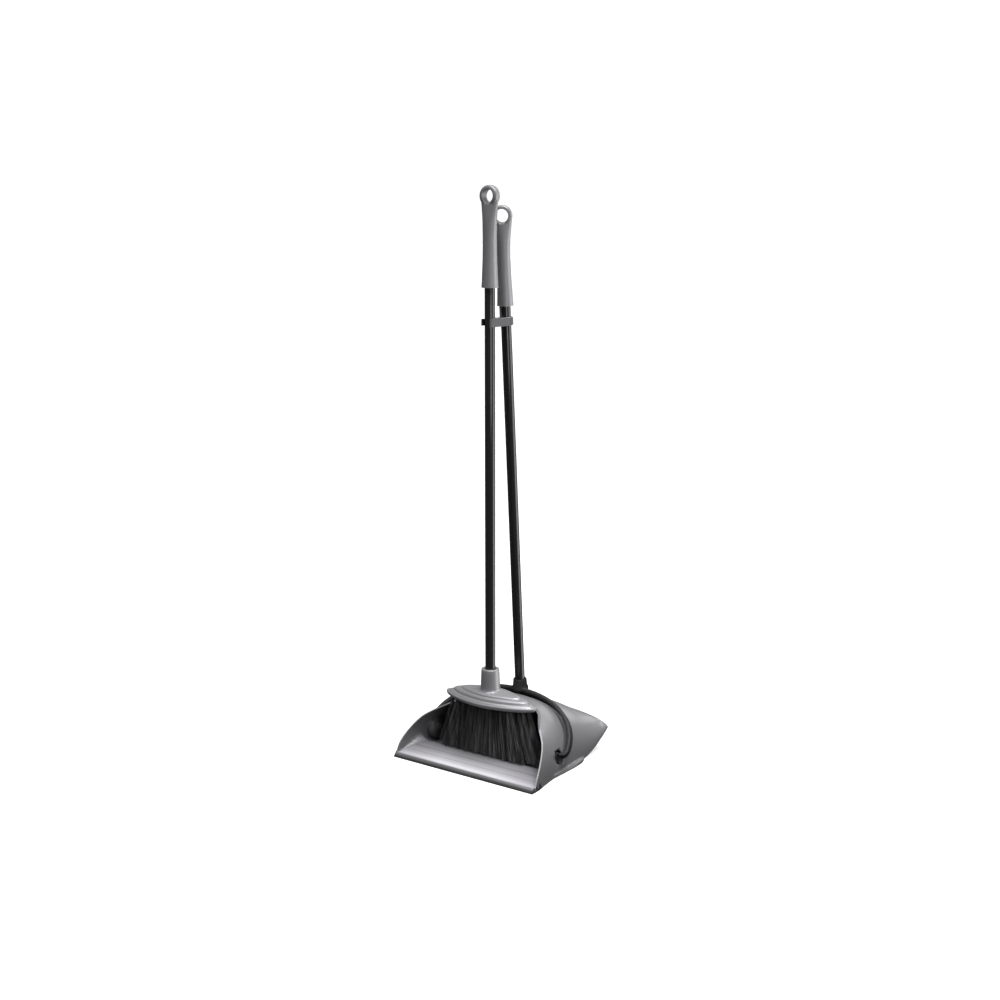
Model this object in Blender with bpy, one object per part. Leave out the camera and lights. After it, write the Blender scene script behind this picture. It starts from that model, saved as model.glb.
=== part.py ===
"""Lobby dustpan with its upright broom stored in it.

Metres, +Z up, +Y to the back, X across. The origin is on the floor, in the middle of the set's box.
Offsets along Y are counted from the front edge of the lip and turned into world values by back().
"""

from math import asin, atan2, cos, pi, radians, sin, tan

import bmesh
import bpy
from mathutils import Matrix, Vector

# Driving dimensions
DEPTH = 0.231
WALL = 0.0024
GAP = 0.0003

PIVOT_BACK = 0.089
PIVOT_Z = 0.028
BAIL_ANGLE = radians(42.0)
BAIL_RISE = 0.0995
BAIL_HALF_WIDTH = 0.1355
BAIL_THICK = 0.0072
HOOK_RADIUS = 0.0100
EYE_INNER_X = 0.1137
EYE_OUTER_X = 0.1207
POCKET_X = EYE_INNER_X - 0.0005
HOUSE_X = POCKET_X - 0.0026
BOSS_X = HOUSE_X - 0.0020
HOUSE_RADIUS = 0.0175
RECESS_RADIUS = 0.0108
NOTCH_RADIUS = 0.0150
EYE_RADIUS = 0.0072
PIN_RADIUS = 0.003
PIN_HEAD_X = 0.1190

POLE_RADIUS = 0.008
POLE_BORE = 0.0071
DUSTPAN_POLE_FOOT = Vector((0.0, 0.159, 0.136))
DUSTPAN_POLE_HEAD = Vector((0.0, 0.124, 0.644))
BAIL_SOCKET_LOW_Z = 0.090
BAIL_SOCKET_TOP_Z = 0.113
DUSTPAN_GRIP_Z = 0.711
DUSTPAN_GRIP_TURN = radians(28.0)

BROOM_BACK = 0.079
HEAD_HALF_LENGTH = 0.0850
HEAD_HALF_DEPTH = 0.033
HEAD_RIM_Z = 0.0955
HEAD_TOP_Z = 0.1155
SOCKET_TOP_Z = 0.151
SOCKET_BASE_RADIUS = 0.01525
SOCKET_TOP_RADIUS = 0.0135
SOCKET_FLOOR_Z = 0.112
BROOM_GRIP_Z = 0.739
SCREW_X = (-0.042, 0.042)

# The head cover's outline at each height above its rim, as (share of length, share of depth, height).
HEAD_TIERS = (
    (0.945, 0.925, 0.0), (0.980, 0.970, 0.0014), (1.0, 1.0, 0.0044), (0.996, 0.993, 0.0064),
    (0.972, 0.960, 0.0080), (0.936, 0.908, 0.0083), (0.905, 0.872, 0.0108), (0.820, 0.790, 0.0138),
    (0.660, 0.680, 0.0166),
    (0.430, 0.560, 0.0188), (0.260, 0.470, 0.0200),
)
HEAD_CAVITY = (0.900, 0.860)
HEAD_CAVITY_DEPTH = 0.0092
BLOCK_LOW_Z = HEAD_RIM_Z + 0.0010
BLOCK_TOP_Z = HEAD_RIM_Z + HEAD_CAVITY_DEPTH - 0.0006

BRISTLE_TIP_Z = 0.0156
BRISTLE_ROWS = 5
ROW_SPACING = 0.0020
BRISTLE_TOP = (0.0700, 0.0208)
BRISTLE_FOOT = (0.098, 0.030)

GRIP_LENGTH = 0.149
GRIP_FOOT_RADIUS = 0.01275
GRIP_WAIST_RADIUS = 0.0105
LOOP_RADIUS = 0.0155
LOOP_HOLE_RADIUS = 0.0100
LOOP_THICK = 0.0130

CLIP_Z = 0.688
CLIP_HEIGHT = 0.012
COLLAR_RADIUS = 0.0112
JAW_HALF_GAP = 0.0086

GREY = (0.205, 0.202, 0.215, 1.0)
BLACK = (0.012, 0.012, 0.013, 1.0)
STEEL = (0.45, 0.45, 0.46, 1.0)


def back(offset):
    """World Y of a point this far behind the lip's front edge."""
    return offset - DEPTH / 2


def clear_scene():
    for obj in list(bpy.data.objects):
        bpy.data.objects.remove(obj, do_unlink=True)


def make_material(name, color, roughness, metallic=0.0):
    material = bpy.data.materials.new(name)
    material.use_nodes = True
    shader = material.node_tree.nodes["Principled BSDF"]
    shader.inputs["Base Color"].default_value = color
    shader.inputs["Roughness"].default_value = roughness
    shader.inputs["Metallic"].default_value = metallic
    return material


def finish(name, bm, material=None, matrix=None, smooth=35.0):
    """Turns a bmesh into a named object with outward faces."""
    bmesh.ops.recalc_face_normals(bm, faces=bm.faces)
    mesh = bpy.data.meshes.new(name)
    bm.to_mesh(mesh)
    bm.free()
    obj = bpy.data.objects.new(name, mesh)
    bpy.context.collection.objects.link(obj)
    if matrix is not None:
        obj.matrix_world = matrix
    if material is not None:
        mesh.materials.append(material)
    mesh.shade_smooth()
    mesh.set_sharp_from_angle(angle=radians(smooth))
    return obj


def combine(target, other, operation):
    """Applies one exact Boolean and removes the helper."""
    modifier = target.modifiers.new(operation, "BOOLEAN")
    modifier.operation = operation
    modifier.solver = "EXACT"
    modifier.object = other
    bpy.context.view_layer.update()
    graph = bpy.context.evaluated_depsgraph_get()
    mesh = bpy.data.meshes.new_from_object(target.evaluated_get(graph))
    target.modifiers.clear()
    target.data = mesh
    bpy.data.objects.remove(other, do_unlink=True)
    return target


def cut(target, cutter):
    return combine(target, cutter, "DIFFERENCE")


def join(target, other):
    return combine(target, other, "UNION")


def set_origin(obj, point):
    """Moves the object's origin to a world point and leaves its shape where it is."""
    bpy.context.view_layer.update()
    old = obj.matrix_world.copy()
    new = Matrix.Translation(point) @ old.to_3x3().to_4x4()
    obj.data.transform(new.inverted() @ old)
    obj.matrix_world = new


def loft(name, rings, material=None, matrix=None, smooth=35.0):
    """A closed skin over rings with equal point counts, with a cap at each end."""
    bm = bmesh.new()
    rows = [[bm.verts.new(point) for point in ring] for ring in rings]
    count = len(rows[0])
    for low, high in zip(rows, rows[1:]):
        for i in range(count):
            j = (i + 1) % count
            bm.faces.new((low[i], low[j], high[j], high[i]))
    bm.faces.new(rows[0])
    bm.faces.new(rows[-1])
    return finish(name, bm, material, matrix, smooth)


def prism_x(name, outline, half_x, center_x=0.0, material=None):
    """An outline of (offset back, height) points, extruded across X."""
    rings = []
    for x in (center_x - half_x, center_x + half_x):
        rings.append([Vector((x, back(y), z)) for y, z in outline])
    return loft(name, rings, material)


def turned(name, profile, material=None, matrix=None, sides=32, smooth=35.0):
    """A solid of revolution about Z from (radius, height) points, open profiles closed on the axis."""
    rings = []
    for radius, height in profile:
        ring = []
        for i in range(sides):
            turn = 2 * pi * i / sides
            ring.append(Vector((radius * cos(turn), radius * sin(turn), height)))
        rings.append(ring)
    return loft(name, rings, material, matrix, smooth)


def along(start, end):
    """A frame at start with +Z pointing to end and X kept across the set."""
    z_axis = (end - start).normalized()
    x_axis = Vector((1.0, 0.0, 0.0))
    y_axis = z_axis.cross(x_axis)
    frame = Matrix((x_axis, y_axis, z_axis)).transposed().to_4x4()
    frame.translation = start
    return frame


def pivot_frame(x):
    """A frame at a pivot with +Z along the hinge axis, pointing to +X."""
    frame = Matrix(((0, 0, 1), (1, 0, 0), (0, 1, 0))).to_4x4()
    frame.translation = Vector((x, back(PIVOT_BACK), PIVOT_Z))
    return frame


def blend_value(table, at):
    """A value read from a short list of (position, value) pairs."""
    if at <= table[0][0]:
        return table[0][1]
    for (a, first), (b, second) in zip(table, table[1:]):
        if at <= b:
            part = (at - a) / (b - a)
            return first + (second - first) * part
    return table[-1][1]


def smooth_value(table, at, reach=0.010):
    """The same value averaged over a short stretch, so that corners in the list are rounded."""
    steps = 8
    return sum(blend_value(table, at + reach * (2 * i / steps - 1)) for i in range(steps + 1)) / (steps + 1)


# The pan's shape, as (offset back, value) pairs along its depth.
HALF_WIDTH = (
    (0.000, 0.1340), (0.012, 0.1338), (0.040, 0.1290), (0.060, 0.1264), (0.080, 0.1246),
    (0.100, 0.1229), (0.120, 0.1210), (0.145, 0.1197), (0.170, 0.1192), (0.196, 0.1198),
    (0.215, 0.1215), (0.231, 0.1250),
)
CROWN = (
    (0.000, 0.0900), (0.082, 0.0915), (0.116, 0.0950), (0.140, 0.0938), (0.151, 0.0910),
    (0.158, 0.0870), (0.166, 0.0830), (0.176, 0.0822), (0.190, 0.0785), (0.208, 0.0710),
    (0.220, 0.0635), (0.231, 0.0550),
)
UNDERSIDE = (
    (0.000, 0.0), (0.165, 0.0), (0.180, 0.0028), (0.193, 0.0070), (0.205, 0.0135),
    (0.217, 0.0218), (0.231, 0.0345),
)
RAMP = (
    (0.000, 0.0056), (0.008, 0.0066), (0.010, 0.0066), (0.0115, 0.0060), (0.024, 0.0086), (0.0252, 0.0096),
    (0.037, 0.0120), (0.0382, 0.0130), (0.050, 0.0148), (0.056, 0.0150), (0.060, 0.0146),
    (0.070, 0.0045), (0.074, 0.0030), (0.165, 0.0030), (0.180, 0.0056), (0.193, 0.0098),
    (0.205, 0.0163), (0.217, 0.0246), (0.231, 0.0370),
)
INNER_FOOT = (
    (0.000, 0.1312), (0.012, 0.1300), (0.056, 0.1090), (0.080, 0.1070), (0.156, 0.1110),
    (0.196, 0.1120), (0.231, 0.1180),
)
RIM = (
    (0.008, 0.0080), (0.014, 0.0195), (0.021, 0.0280), (0.031, 0.0380), (0.042, 0.0480),
    (0.052, 0.0562), (0.061, 0.0620), (0.072, 0.0682), (0.084, 0.0735), (0.096, 0.0775),
    (0.106, 0.0808), (0.113, 0.0845), (0.117, 0.0895), (0.119, 0.0990),
)
STATIONS = (
    0.006, 0.008, 0.010, 0.0115, 0.018, 0.024, 0.0252, 0.031, 0.037, 0.0382, 0.044, 0.050, 0.056,
    0.060, 0.065, 0.070, 0.074, 0.080, 0.087, 0.094, 0.100, 0.106, 0.112, 0.118, 0.124, 0.129,
    0.1335, 0.1375, 0.141, 0.1445, 0.148, 0.1515, 0.155, 0.1585, 0.162, 0.1655, 0.169, 0.173, 0.178,
    0.184, 0.190, 0.197, 0.204, 0.211, 0.218, 0.225, 0.231,
)
HOOD_POWER = (
    (0.000, 3.20), (0.052, 3.10), (0.061, 2.90), (0.069, 2.75), (0.082, 2.60), (0.100, 2.55),
    (0.170, 2.50), (0.205, 2.15), (0.231, 2.00),
)
HOOP_POWER = 2.2
HOOP_CLEARANCE = 0.0018
FILLET_STEPS = 3
MATCH_STEPS = 7
STOP_CLEARANCE = 0.0046
EASE = 0.0040
ARCH_STEPS = 26


def arch_turn(i):
    """The angle of one point of the arch, with points closer together near the floor."""
    return pi / 2 * (i / ARCH_STEPS) ** 1.4


def arch_point(turn, half_width, low, high, power):
    """A point (x, z) on one half of a squared-off arch."""
    return cos(turn) ** (2 / power) * half_width, low + (high - low) * sin(turn) ** (2 / power)


def whole_arch(side, high):
    """Both halves of an arch from +X to -X, from the points of its +X half."""
    return side + [(0.0, high)] + [(-x, z) for x, z in reversed(side)]


def hoop_room(x, y):
    """The height that the hood may reach at (x, offset back y) without meeting the swinging hoop."""
    ahead = y - PIVOT_BACK
    across = min(1.0, abs(x) / (BAIL_HALF_WIDTH - BAIL_THICK))
    radius = (BAIL_RISE - BAIL_THICK) * (1 - across ** HOOP_POWER) ** (1 / HOOP_POWER) - HOOP_CLEARANCE
    under_hoop = PIVOT_Z + max(0.0, radius ** 2 - ahead ** 2) ** 0.5
    band = (hoop_half_band(radius / BAIL_RISE) + STOP_CLEARANCE) / cos(BAIL_ANGLE)
    behind_hoop = PIVOT_Z + ahead * tan(BAIL_ANGLE) - band
    return max(under_hoop, behind_hoop)


def under(height, limit):
    """The lower of two heights, with the corner between them eased."""
    return (height + limit - ((height - limit) ** 2 + EASE ** 2) ** 0.5) / 2


def below_hoop(points, y, inset):
    """A ring at one depth from its (x, z) points, lowered where the hoop passes."""
    ring = []
    for x, z in points:
        if y > PIVOT_BACK and z > PIVOT_Z:
            z = max(PIVOT_Z, under(z, hoop_room(x, y) - inset))
        ring.append(Vector((x, back(y), z)))
    return ring


def pan_outer_ring(y, inset=0.0):
    """The hood's section."""
    power = blend_value(HOOD_POWER, y)
    width = smooth_value(HALF_WIDTH, y) - inset
    low = blend_value(UNDERSIDE, y) + inset
    high = smooth_value(CROWN, y, 0.006) - inset
    side = [arch_point(arch_turn(i), width, low, high, power) for i in range(ARCH_STEPS)]
    return below_hoop(whole_arch(side, high), y, inset)


def pan_inner_ring(y):
    """The cavity's section: the hood less its wall, with a fillet from the floor up to each side."""
    power = blend_value(HOOD_POWER, y)
    width = smooth_value(HALF_WIDTH, y) - WALL
    low = blend_value(UNDERSIDE, y) + WALL
    high = smooth_value(CROWN, y, 0.006) - WALL
    floor = blend_value(RAMP, y)
    foot = blend_value(INNER_FOOT, y)
    ledge = floor + 0.0010 + 0.45 * (width - foot)
    start = asin(((ledge - low) / (high - low)) ** (power / 2))
    ledge_x = arch_point(start, width, low, high, power)[0]
    side = []
    for i in range(ARCH_STEPS):
        part = i / FILLET_STEPS
        if part < 1:
            side.append((foot + (ledge_x - foot) * part, floor + (ledge - floor) * part ** 1.5))
            continue
        turn = arch_turn(i)
        if i < MATCH_STEPS:
            share = (i - FILLET_STEPS) / (MATCH_STEPS - FILLET_STEPS)
            turn = start + (arch_turn(MATCH_STEPS) - start) * share
        side.append(arch_point(turn, width, low, high, power))
    return below_hoop(whole_arch(side, high), y, WALL)


def pan_cavity():
    """The space inside the pan, running out past its open front."""
    mouth = [point + Vector((0.0, -0.020, 0.0)) for point in pan_inner_ring(0.0)]
    return loft("cavity", [mouth] + [pan_inner_ring(y) for y in STATIONS[:-1] + (DEPTH - WALL,)])


def base_flange():
    """The low plinth that the hood stands on, wider than the hood behind the pivots."""
    sides = (
        (0.058, 0.1250), (0.093, 0.1262), (0.128, 0.1275), (0.150, 0.1262), (0.162, 0.1225),
        (0.167, 0.1180),
    )
    outline = [(x, y) for y, x in sides] + [(-x, y) for y, x in reversed(sides)]
    rings = [[Vector((x, back(y), z)) for x, y in outline] for z in (0.0, 0.0048)]
    return loft("flange", rings)


def pivot_sector(radius, low, high, steps=14):
    """An outline (offset back, height) of a sector about the pivot."""
    points = [(PIVOT_BACK, PIVOT_Z)]
    for i in range(steps + 1):
        turn = low + (high - low) * i / steps
        points.append((PIVOT_BACK + radius * cos(turn), PIVOT_Z + radius * sin(turn)))
    return points


def round_cutter(name, radius, side, near, far):
    """A cylinder on the hinge axis, between two distances from the middle, on one side."""
    low, high = sorted((side * near, side * far))
    return turned(name, ((radius, 0.0), (radius, high - low)), None, pivot_frame(low), 28)


def add_pivot_recess(pan, side):
    """A round pocket in the side wall for the hoop's end, with the pin's boss inside the pan."""
    outer_x = 0.1300
    house = round_cutter("house", HOUSE_RADIUS, side, HOUSE_X, outer_x)
    hull = loft("hull", [pan_outer_ring(y, 0.0007) for y in STATIONS])
    pan = join(pan, combine(house, hull, "INTERSECT"))
    pan = join(pan, round_cutter("boss", 0.0085, side, BOSS_X, HOUSE_X + 0.0010))
    pan = cut(pan, round_cutter("recess", RECESS_RADIUS, side, POCKET_X, outer_x))
    reach = (outer_x - POCKET_X) / 2
    notch = pivot_sector(NOTCH_RADIUS, radians(-72.0), radians(-4.0))
    pan = cut(pan, prism_x("notch", notch, reach, side * (POCKET_X + reach)))
    return cut(pan, round_cutter("pin_hole", PIN_RADIUS + GAP, side, 0.1000, 0.1240))


def add_underside_pockets(pan):
    """Hollows under the ramp, with ribs between them."""
    count = 6
    pitch = 0.0390
    for i in range(count):
        x = (i - (count - 1) / 2) * pitch
        outline = ((0.0270, -0.001), (0.0270, 0.0070), (0.0540, 0.0118), (0.0600, 0.0110), (0.0600, -0.001))
        pan = cut(pan, prism_x("pocket", outline, pitch / 2 - 0.0012, x))
    return pan


def build_pan(material):
    pan = loft("pan_body", [pan_outer_ring(y) for y in STATIONS], material)
    pan = join(pan, base_flange())
    pan = cut(pan, pan_cavity())
    for side in (1, -1):
        pan = add_pivot_recess(pan, side)
    front = RIM + ((0.118, 0.200), (-0.050, 0.200), (-0.050, 0.0080))
    pan = cut(pan, prism_x("mouth", front, 0.200))
    rebate = ((-0.010, -0.010), (0.0210, -0.010), (0.0210, 0.0030), (-0.010, 0.0030))
    pan = cut(pan, prism_x("rebate", rebate, 0.2000))
    pan = add_underside_pockets(pan)
    pan.data.materials.clear()
    pan.data.materials.append(material)
    pan.data.shade_smooth()
    pan.data.set_sharp_from_angle(angle=radians(35.0))
    return pan


def build_lip_strip(material):
    outline = (
        (0.0, 0.0), (0.0207, 0.0), (0.0207, 0.0027), (0.0057, 0.0027), (0.0057, 0.0040),
        (0.0040, 0.0042), (0.0006, 0.0018),
    )
    return prism_x("lip_strip", outline, 0.1326, 0.0, material)


def hoop_half_band(rise):
    """Half the band's breadth at a share of the hoop's height."""
    return 0.0046 + 0.0048 * max(0.0, rise) ** 1.2


def bail_point(turn, grow):
    """A point (x, rise) on the hoop, grow metres outside its inner line."""
    power = HOOP_POWER
    width = BAIL_HALF_WIDTH - BAIL_THICK + grow
    rise = BAIL_RISE - BAIL_THICK + grow
    x = abs(cos(turn)) ** (2 / power) * width
    z = abs(sin(turn)) ** (2 / power) * rise
    return (x if cos(turn) >= 0 else -x), z


def hoop_frame():
    """A frame at the middle of the hinge axis with +Z up along the hoop's plane."""
    frame = Matrix.Rotation(BAIL_ANGLE - pi / 2, 4, "X")
    frame.translation = Vector((0.0, back(PIVOT_BACK), PIVOT_Z))
    return frame


def hoop_section(inner, outward, half_band, thick):
    """Eight points round the band at one place of the hoop, in the hoop's own frame."""
    shape = (
        (0.0, -0.80), (0.30, -1.0), (0.72, -1.0), (1.0, -0.66),
        (1.0, 0.66), (0.72, 1.0), (0.30, 1.0), (0.0, 0.80),
    )
    return [inner + outward * (u * thick) + Vector((0.0, v * half_band, 0.0)) for u, v in shape]


def hoop_path(steps=40):
    """Inner points of the hoop from one eye to the other, with outward directions and band widths."""
    low_turn = 0.13
    path = []
    for i in range(steps + 1):
        turn = low_turn + (pi - 2 * low_turn) * i / steps
        x, z = bail_point(turn, 0.0)
        ahead = bail_point(turn + 0.02, 0.0)
        behind = bail_point(turn - 0.02, 0.0)
        tangent = Vector((ahead[0] - behind[0], 0.0, ahead[1] - behind[1])).normalized()
        outward = Vector((tangent.z, 0.0, -tangent.x))
        if outward.dot(Vector((x, 0.0, z))) < 0:
            outward = -outward
        path.append((Vector((x, 0.0, z)), outward, hoop_half_band(z / BAIL_RISE)))
    return path


def hoop_end(first, steps=7):
    """The hooked end of the hoop: on from its last inner point, straight down and round into the eye."""
    start, half_band = first[0], first[2]
    side = 1 if start.x > 0 else -1
    centre = Vector((start.x - side * HOOK_RADIUS, 0.0, HOOK_RADIUS + BAIL_THICK / 2))
    end = []
    for i in range(steps + 1):
        turn = pi / 2 * i / steps
        outward = Vector((side * cos(turn), 0.0, -sin(turn)))
        end.append((centre + outward * HOOK_RADIUS, outward, half_band))
    return end


def build_bail(material):
    """The black hoop: a tapering band over the hood, an eye at each end and the pole's socket on top."""
    path = hoop_path()
    thick_foot = EYE_OUTER_X - EYE_INNER_X
    stations = list(reversed(hoop_end(path[0]))) + path + hoop_end(path[-1])
    rings = [hoop_section(inner, outward, half_band, BAIL_THICK) for inner, outward, half_band in stations]
    bail = loft("bail", rings, material, hoop_frame())
    for side in (1, -1):
        low = min(side * EYE_INNER_X, side * EYE_OUTER_X)
        profile = ((EYE_RADIUS, 0.0), (EYE_RADIUS, thick_foot))
        bail = join(bail, turned("eye", profile, None, pivot_frame(low), 28))
    bail = join(bail, bail_socket())
    bore = ((POLE_RADIUS + GAP, 0.0), (POLE_RADIUS + GAP, 0.060))
    bail = cut(bail, turned("bore", bore, None, socket_frame(0.0100), 32))
    for side in (1, -1):
        bail = cut(bail, round_cutter("pin_hole", PIN_RADIUS + GAP, side, 0.1000, 0.1290))
        bail = cut(bail, round_cutter("sink", 0.0055, side, PIN_HEAD_X - GAP, 0.1290))
    bail.data.materials.clear()
    bail.data.materials.append(material)
    bail.data.shade_smooth()
    bail.data.set_sharp_from_angle(angle=radians(35.0))
    set_origin(bail, Vector((0.0, back(PIVOT_BACK), PIVOT_Z)))
    return bail


def pole_frame():
    """The dustpan pole's frame, with its origin where the axis crosses the socket's foot."""
    foot = DUSTPAN_POLE_FOOT.copy()
    head = DUSTPAN_POLE_HEAD.copy()
    lean = (head - foot) / (head.z - foot.z)
    low = foot + lean * (BAIL_SOCKET_LOW_Z - foot.z)
    low.y = back(low.y)
    head.y = back(head.y)
    return along(low, head)


def socket_frame(rise):
    return pole_frame() @ Matrix.Translation((0.0, 0.0, rise))


def bail_socket():
    height = BAIL_SOCKET_TOP_Z - BAIL_SOCKET_LOW_Z
    profile = (
        (0.0120, 0.0036), (0.0134, 0.0056), (0.0130, 0.0092), (0.0116, 0.0128),
        (0.0109, height - 0.0012), (0.0102, height),
    )
    return turned("socket", profile, None, pole_frame(), 32)


def build_pin(name, side, material):
    """A pivot pin with its head sunk in the hoop's eye and its inner end inside the pan."""
    profile = (
        (0.0044, -0.0015), (0.0051, -0.0008), (0.0051, 0.0), (PIN_RADIUS, 0.0),
        (PIN_RADIUS, 0.0134), (0.0026, 0.0141),
    )
    frame = pivot_frame(side * PIN_HEAD_X)
    if side > 0:
        frame = frame @ Matrix.Rotation(pi, 4, "X")
    return turned(name, profile, material, frame, 20)


def build_cap(name, side, material):
    """A push-on cap that holds a pin from inside the pan."""
    frame = pivot_frame(side * (BOSS_X - GAP))
    if side > 0:
        frame = frame @ Matrix.Rotation(pi, 4, "X")
    cap = turned(name, ((0.0070, 0.0), (0.0070, 0.0028), (0.0052, 0.0048)), material, frame, 24)
    hole = turned("hole", ((PIN_RADIUS + GAP, -0.0010), (PIN_RADIUS + GAP, 0.0040)), None, frame, 20)
    return cut(cap, hole)


def build_tube(name, frame, length, material):
    """An open tube."""
    tube = turned(name, ((POLE_RADIUS, 0.0), (POLE_RADIUS, length)), material, frame, 28)
    bore = turned("bore", ((POLE_BORE, -0.010), (POLE_BORE, length + 0.010)), None, frame, 28)
    return cut(tube, bore)


def build_core(name, frame, length, material, radius=POLE_BORE - GAP):
    """A plug or insert inside a tube's end, chamfered at both ends."""
    tip = radius - 0.0008
    profile = ((tip, 0.0), (radius, 0.0010), (radius, length - 0.0010), (tip, length))
    return turned(name, profile, material, frame, 20)


def grip_half_sizes(height):
    """Half width and half depth of the grip at a height above its foot."""
    widths = (
        (0.0, GRIP_FOOT_RADIUS), (0.012, 0.0121), (0.040, 0.0110), (0.072, GRIP_WAIST_RADIUS),
        (0.098, 0.0113), (0.114, 0.0132), (0.126, 0.0147), (0.1335, 0.0150),
    )
    depths = (
        (0.0, GRIP_FOOT_RADIUS), (0.012, 0.0121), (0.040, 0.0110), (0.072, GRIP_WAIST_RADIUS),
        (0.098, 0.0100), (0.114, 0.0084), (0.126, 0.0068), (0.1335, 0.0061),
    )
    return blend_value(widths, height), blend_value(depths, height)


def build_grip(name, frame, turn, material, sides=32):
    """A waisted hand grip that flattens into a hanging loop."""
    frame = frame @ Matrix.Rotation(turn, 4, "Z")
    rings = []
    heights = (0.0, 0.012, 0.026, 0.040, 0.056, 0.072, 0.085, 0.098, 0.106, 0.114, 0.120, 0.126, 0.1335)
    for height in heights:
        half_x, half_y = grip_half_sizes(height)
        ring = []
        for i in range(sides):
            angle = 2 * pi * i / sides
            ring.append(Vector((half_x * cos(angle), half_y * sin(angle), height)))
        rings.append(ring)
    grip = loft(name, rings, material, frame)
    center = frame @ Matrix.Translation((0.0, LOOP_THICK / 2, GRIP_LENGTH - LOOP_RADIUS))
    center = center @ Matrix.Rotation(pi / 2, 4, "X")
    edge = 0.0022
    profile = (
        (LOOP_RADIUS - edge, 0.0), (LOOP_RADIUS - 0.0005, edge * 0.7), (LOOP_RADIUS, edge * 1.6),
        (LOOP_RADIUS, LOOP_THICK - edge * 1.6), (LOOP_RADIUS - 0.0005, LOOP_THICK - edge * 0.7),
        (LOOP_RADIUS - edge, LOOP_THICK),
    )
    grip = join(grip, turned("loop", profile, None, center, 36))
    hole = ((LOOP_HOLE_RADIUS, -0.010), (LOOP_HOLE_RADIUS, LOOP_THICK + 0.010))
    grip = cut(grip, turned("hole", hole, None, center, 32))
    bore = ((POLE_RADIUS + GAP, -0.010), (POLE_RADIUS + GAP, 0.0900))
    grip = cut(grip, turned("bore", bore, None, frame, 28))
    grip.data.materials.clear()
    grip.data.materials.append(material)
    return grip


def block(name, low, high, frame=None, material=None):
    """A closed box between two corners of a frame."""
    rings = []
    for z in (low[2], high[2]):
        corners = ((low[0], low[1]), (high[0], low[1]), (high[0], high[1]), (low[0], high[1]))
        rings.append([Vector((x, y, z)) for x, y in corners])
    return loft(name, rings, material, frame)


def plate(name, outline, low, high, frame, material=None):
    """An outline of (x, y) points in a frame, with its own lower and upper height at each point."""
    rings = [[Vector((x, y, low)) for x, y in outline], [Vector((x, y, high)) for x, y in outline]]
    return loft(name, rings, material, frame)


def clip_frame():
    """A level frame on the dustpan pole's axis at the clip's height."""
    foot = DUSTPAN_POLE_FOOT
    head = DUSTPAN_POLE_HEAD
    rise = (CLIP_Z - foot.z) / (head.z - foot.z)
    center = foot.lerp(head, rise)
    return Matrix.Translation((0.0, back(center.y), CLIP_Z)), center.y


def build_clip(material):
    """The bar that holds the broom: a collar, a sleeve up to the grip, a bridge and one long finger."""
    level, center_back = clip_frame()
    reach = center_back - BROOM_BACK
    lean = atan2(DUSTPAN_POLE_FOOT.y - DUSTPAN_POLE_HEAD.y, DUSTPAN_POLE_HEAD.z - DUSTPAN_POLE_FOOT.z)
    tilted = level @ Matrix.Rotation(lean, 4, "X")
    half = CLIP_HEIGHT / 2
    edge = 0.0006
    collar = (
        (COLLAR_RADIUS - edge, -half), (COLLAR_RADIUS, edge - half),
        (COLLAR_RADIUS, half - edge), (COLLAR_RADIUS - edge, half),
    )
    clip = turned("clip_body", collar, material, tilted, 32)
    sleeve = ((0.0096, -half), (0.0096, DUSTPAN_GRIP_Z - CLIP_Z - 0.0008))
    clip = join(clip, turned("sleeve", sleeve, None, tilted, 28))
    bridge = plate(
        "bridge",
        ((0.0102, -0.002), (-0.0088, -0.002), (-0.0105, -reach + 0.0128), (0.0124, -reach + 0.0128)),
        -0.0055, 0.0055, level,
    )
    clip = join(clip, bridge)
    finger_outline = (
        (0.0122, -0.006), (0.0094, -reach + 0.0140), (JAW_HALF_GAP, -reach + 0.0120),
        (JAW_HALF_GAP, -reach - 0.0125), (JAW_HALF_GAP + 0.0012, -reach - 0.0135),
        (0.0128, -reach - 0.0128), (0.0130, -reach + 0.0100),
    )
    clip = join(clip, plate("finger", finger_outline, -0.0064, 0.0064, level))
    bore = turned("bore", ((POLE_RADIUS + GAP, -0.040), (POLE_RADIUS + GAP, 0.060)), None, tilted, 28)
    clip = cut(clip, bore)
    window = block("window", (-0.0020, -0.030, half + 0.0004), (0.030, 0.030, 0.080), tilted)
    clip = cut(clip, window)
    clip.data.materials.clear()
    clip.data.materials.append(material)
    return clip


def build_jaw_liner(material):
    """The black insert: the jaw's back and its left finger."""
    level, center_back = clip_frame()
    reach = center_back - BROOM_BACK
    outline = (
        (-0.0118, -reach + 0.0124), (0.0082, -reach + 0.0124), (0.0082, -reach + 0.0100),
        (-JAW_HALF_GAP, -reach + 0.0100), (-JAW_HALF_GAP, -reach - 0.0062),
        (-0.0100, -reach - 0.0070), (-0.0118, -reach - 0.0060),
    )
    return plate("clip_jaw_liner", outline, -0.0050, 0.0050, level, material)


def leaf_ring(scale_x, scale_y, z, sides=72, power=1.64):
    """The head's plan at one height: an ellipse drawn out a little at its ends."""
    ring = []
    for i in range(sides):
        turn = 2 * pi * i / sides
        x = abs(cos(turn)) ** (2 / power) * HEAD_HALF_LENGTH * scale_x
        y = abs(sin(turn)) ** (2 / power) * HEAD_HALF_DEPTH * scale_y
        x = x if cos(turn) >= 0 else -x
        y = y if sin(turn) >= 0 else -y
        ring.append(Vector((x, y + back(BROOM_BACK), z)))
    return ring


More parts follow.
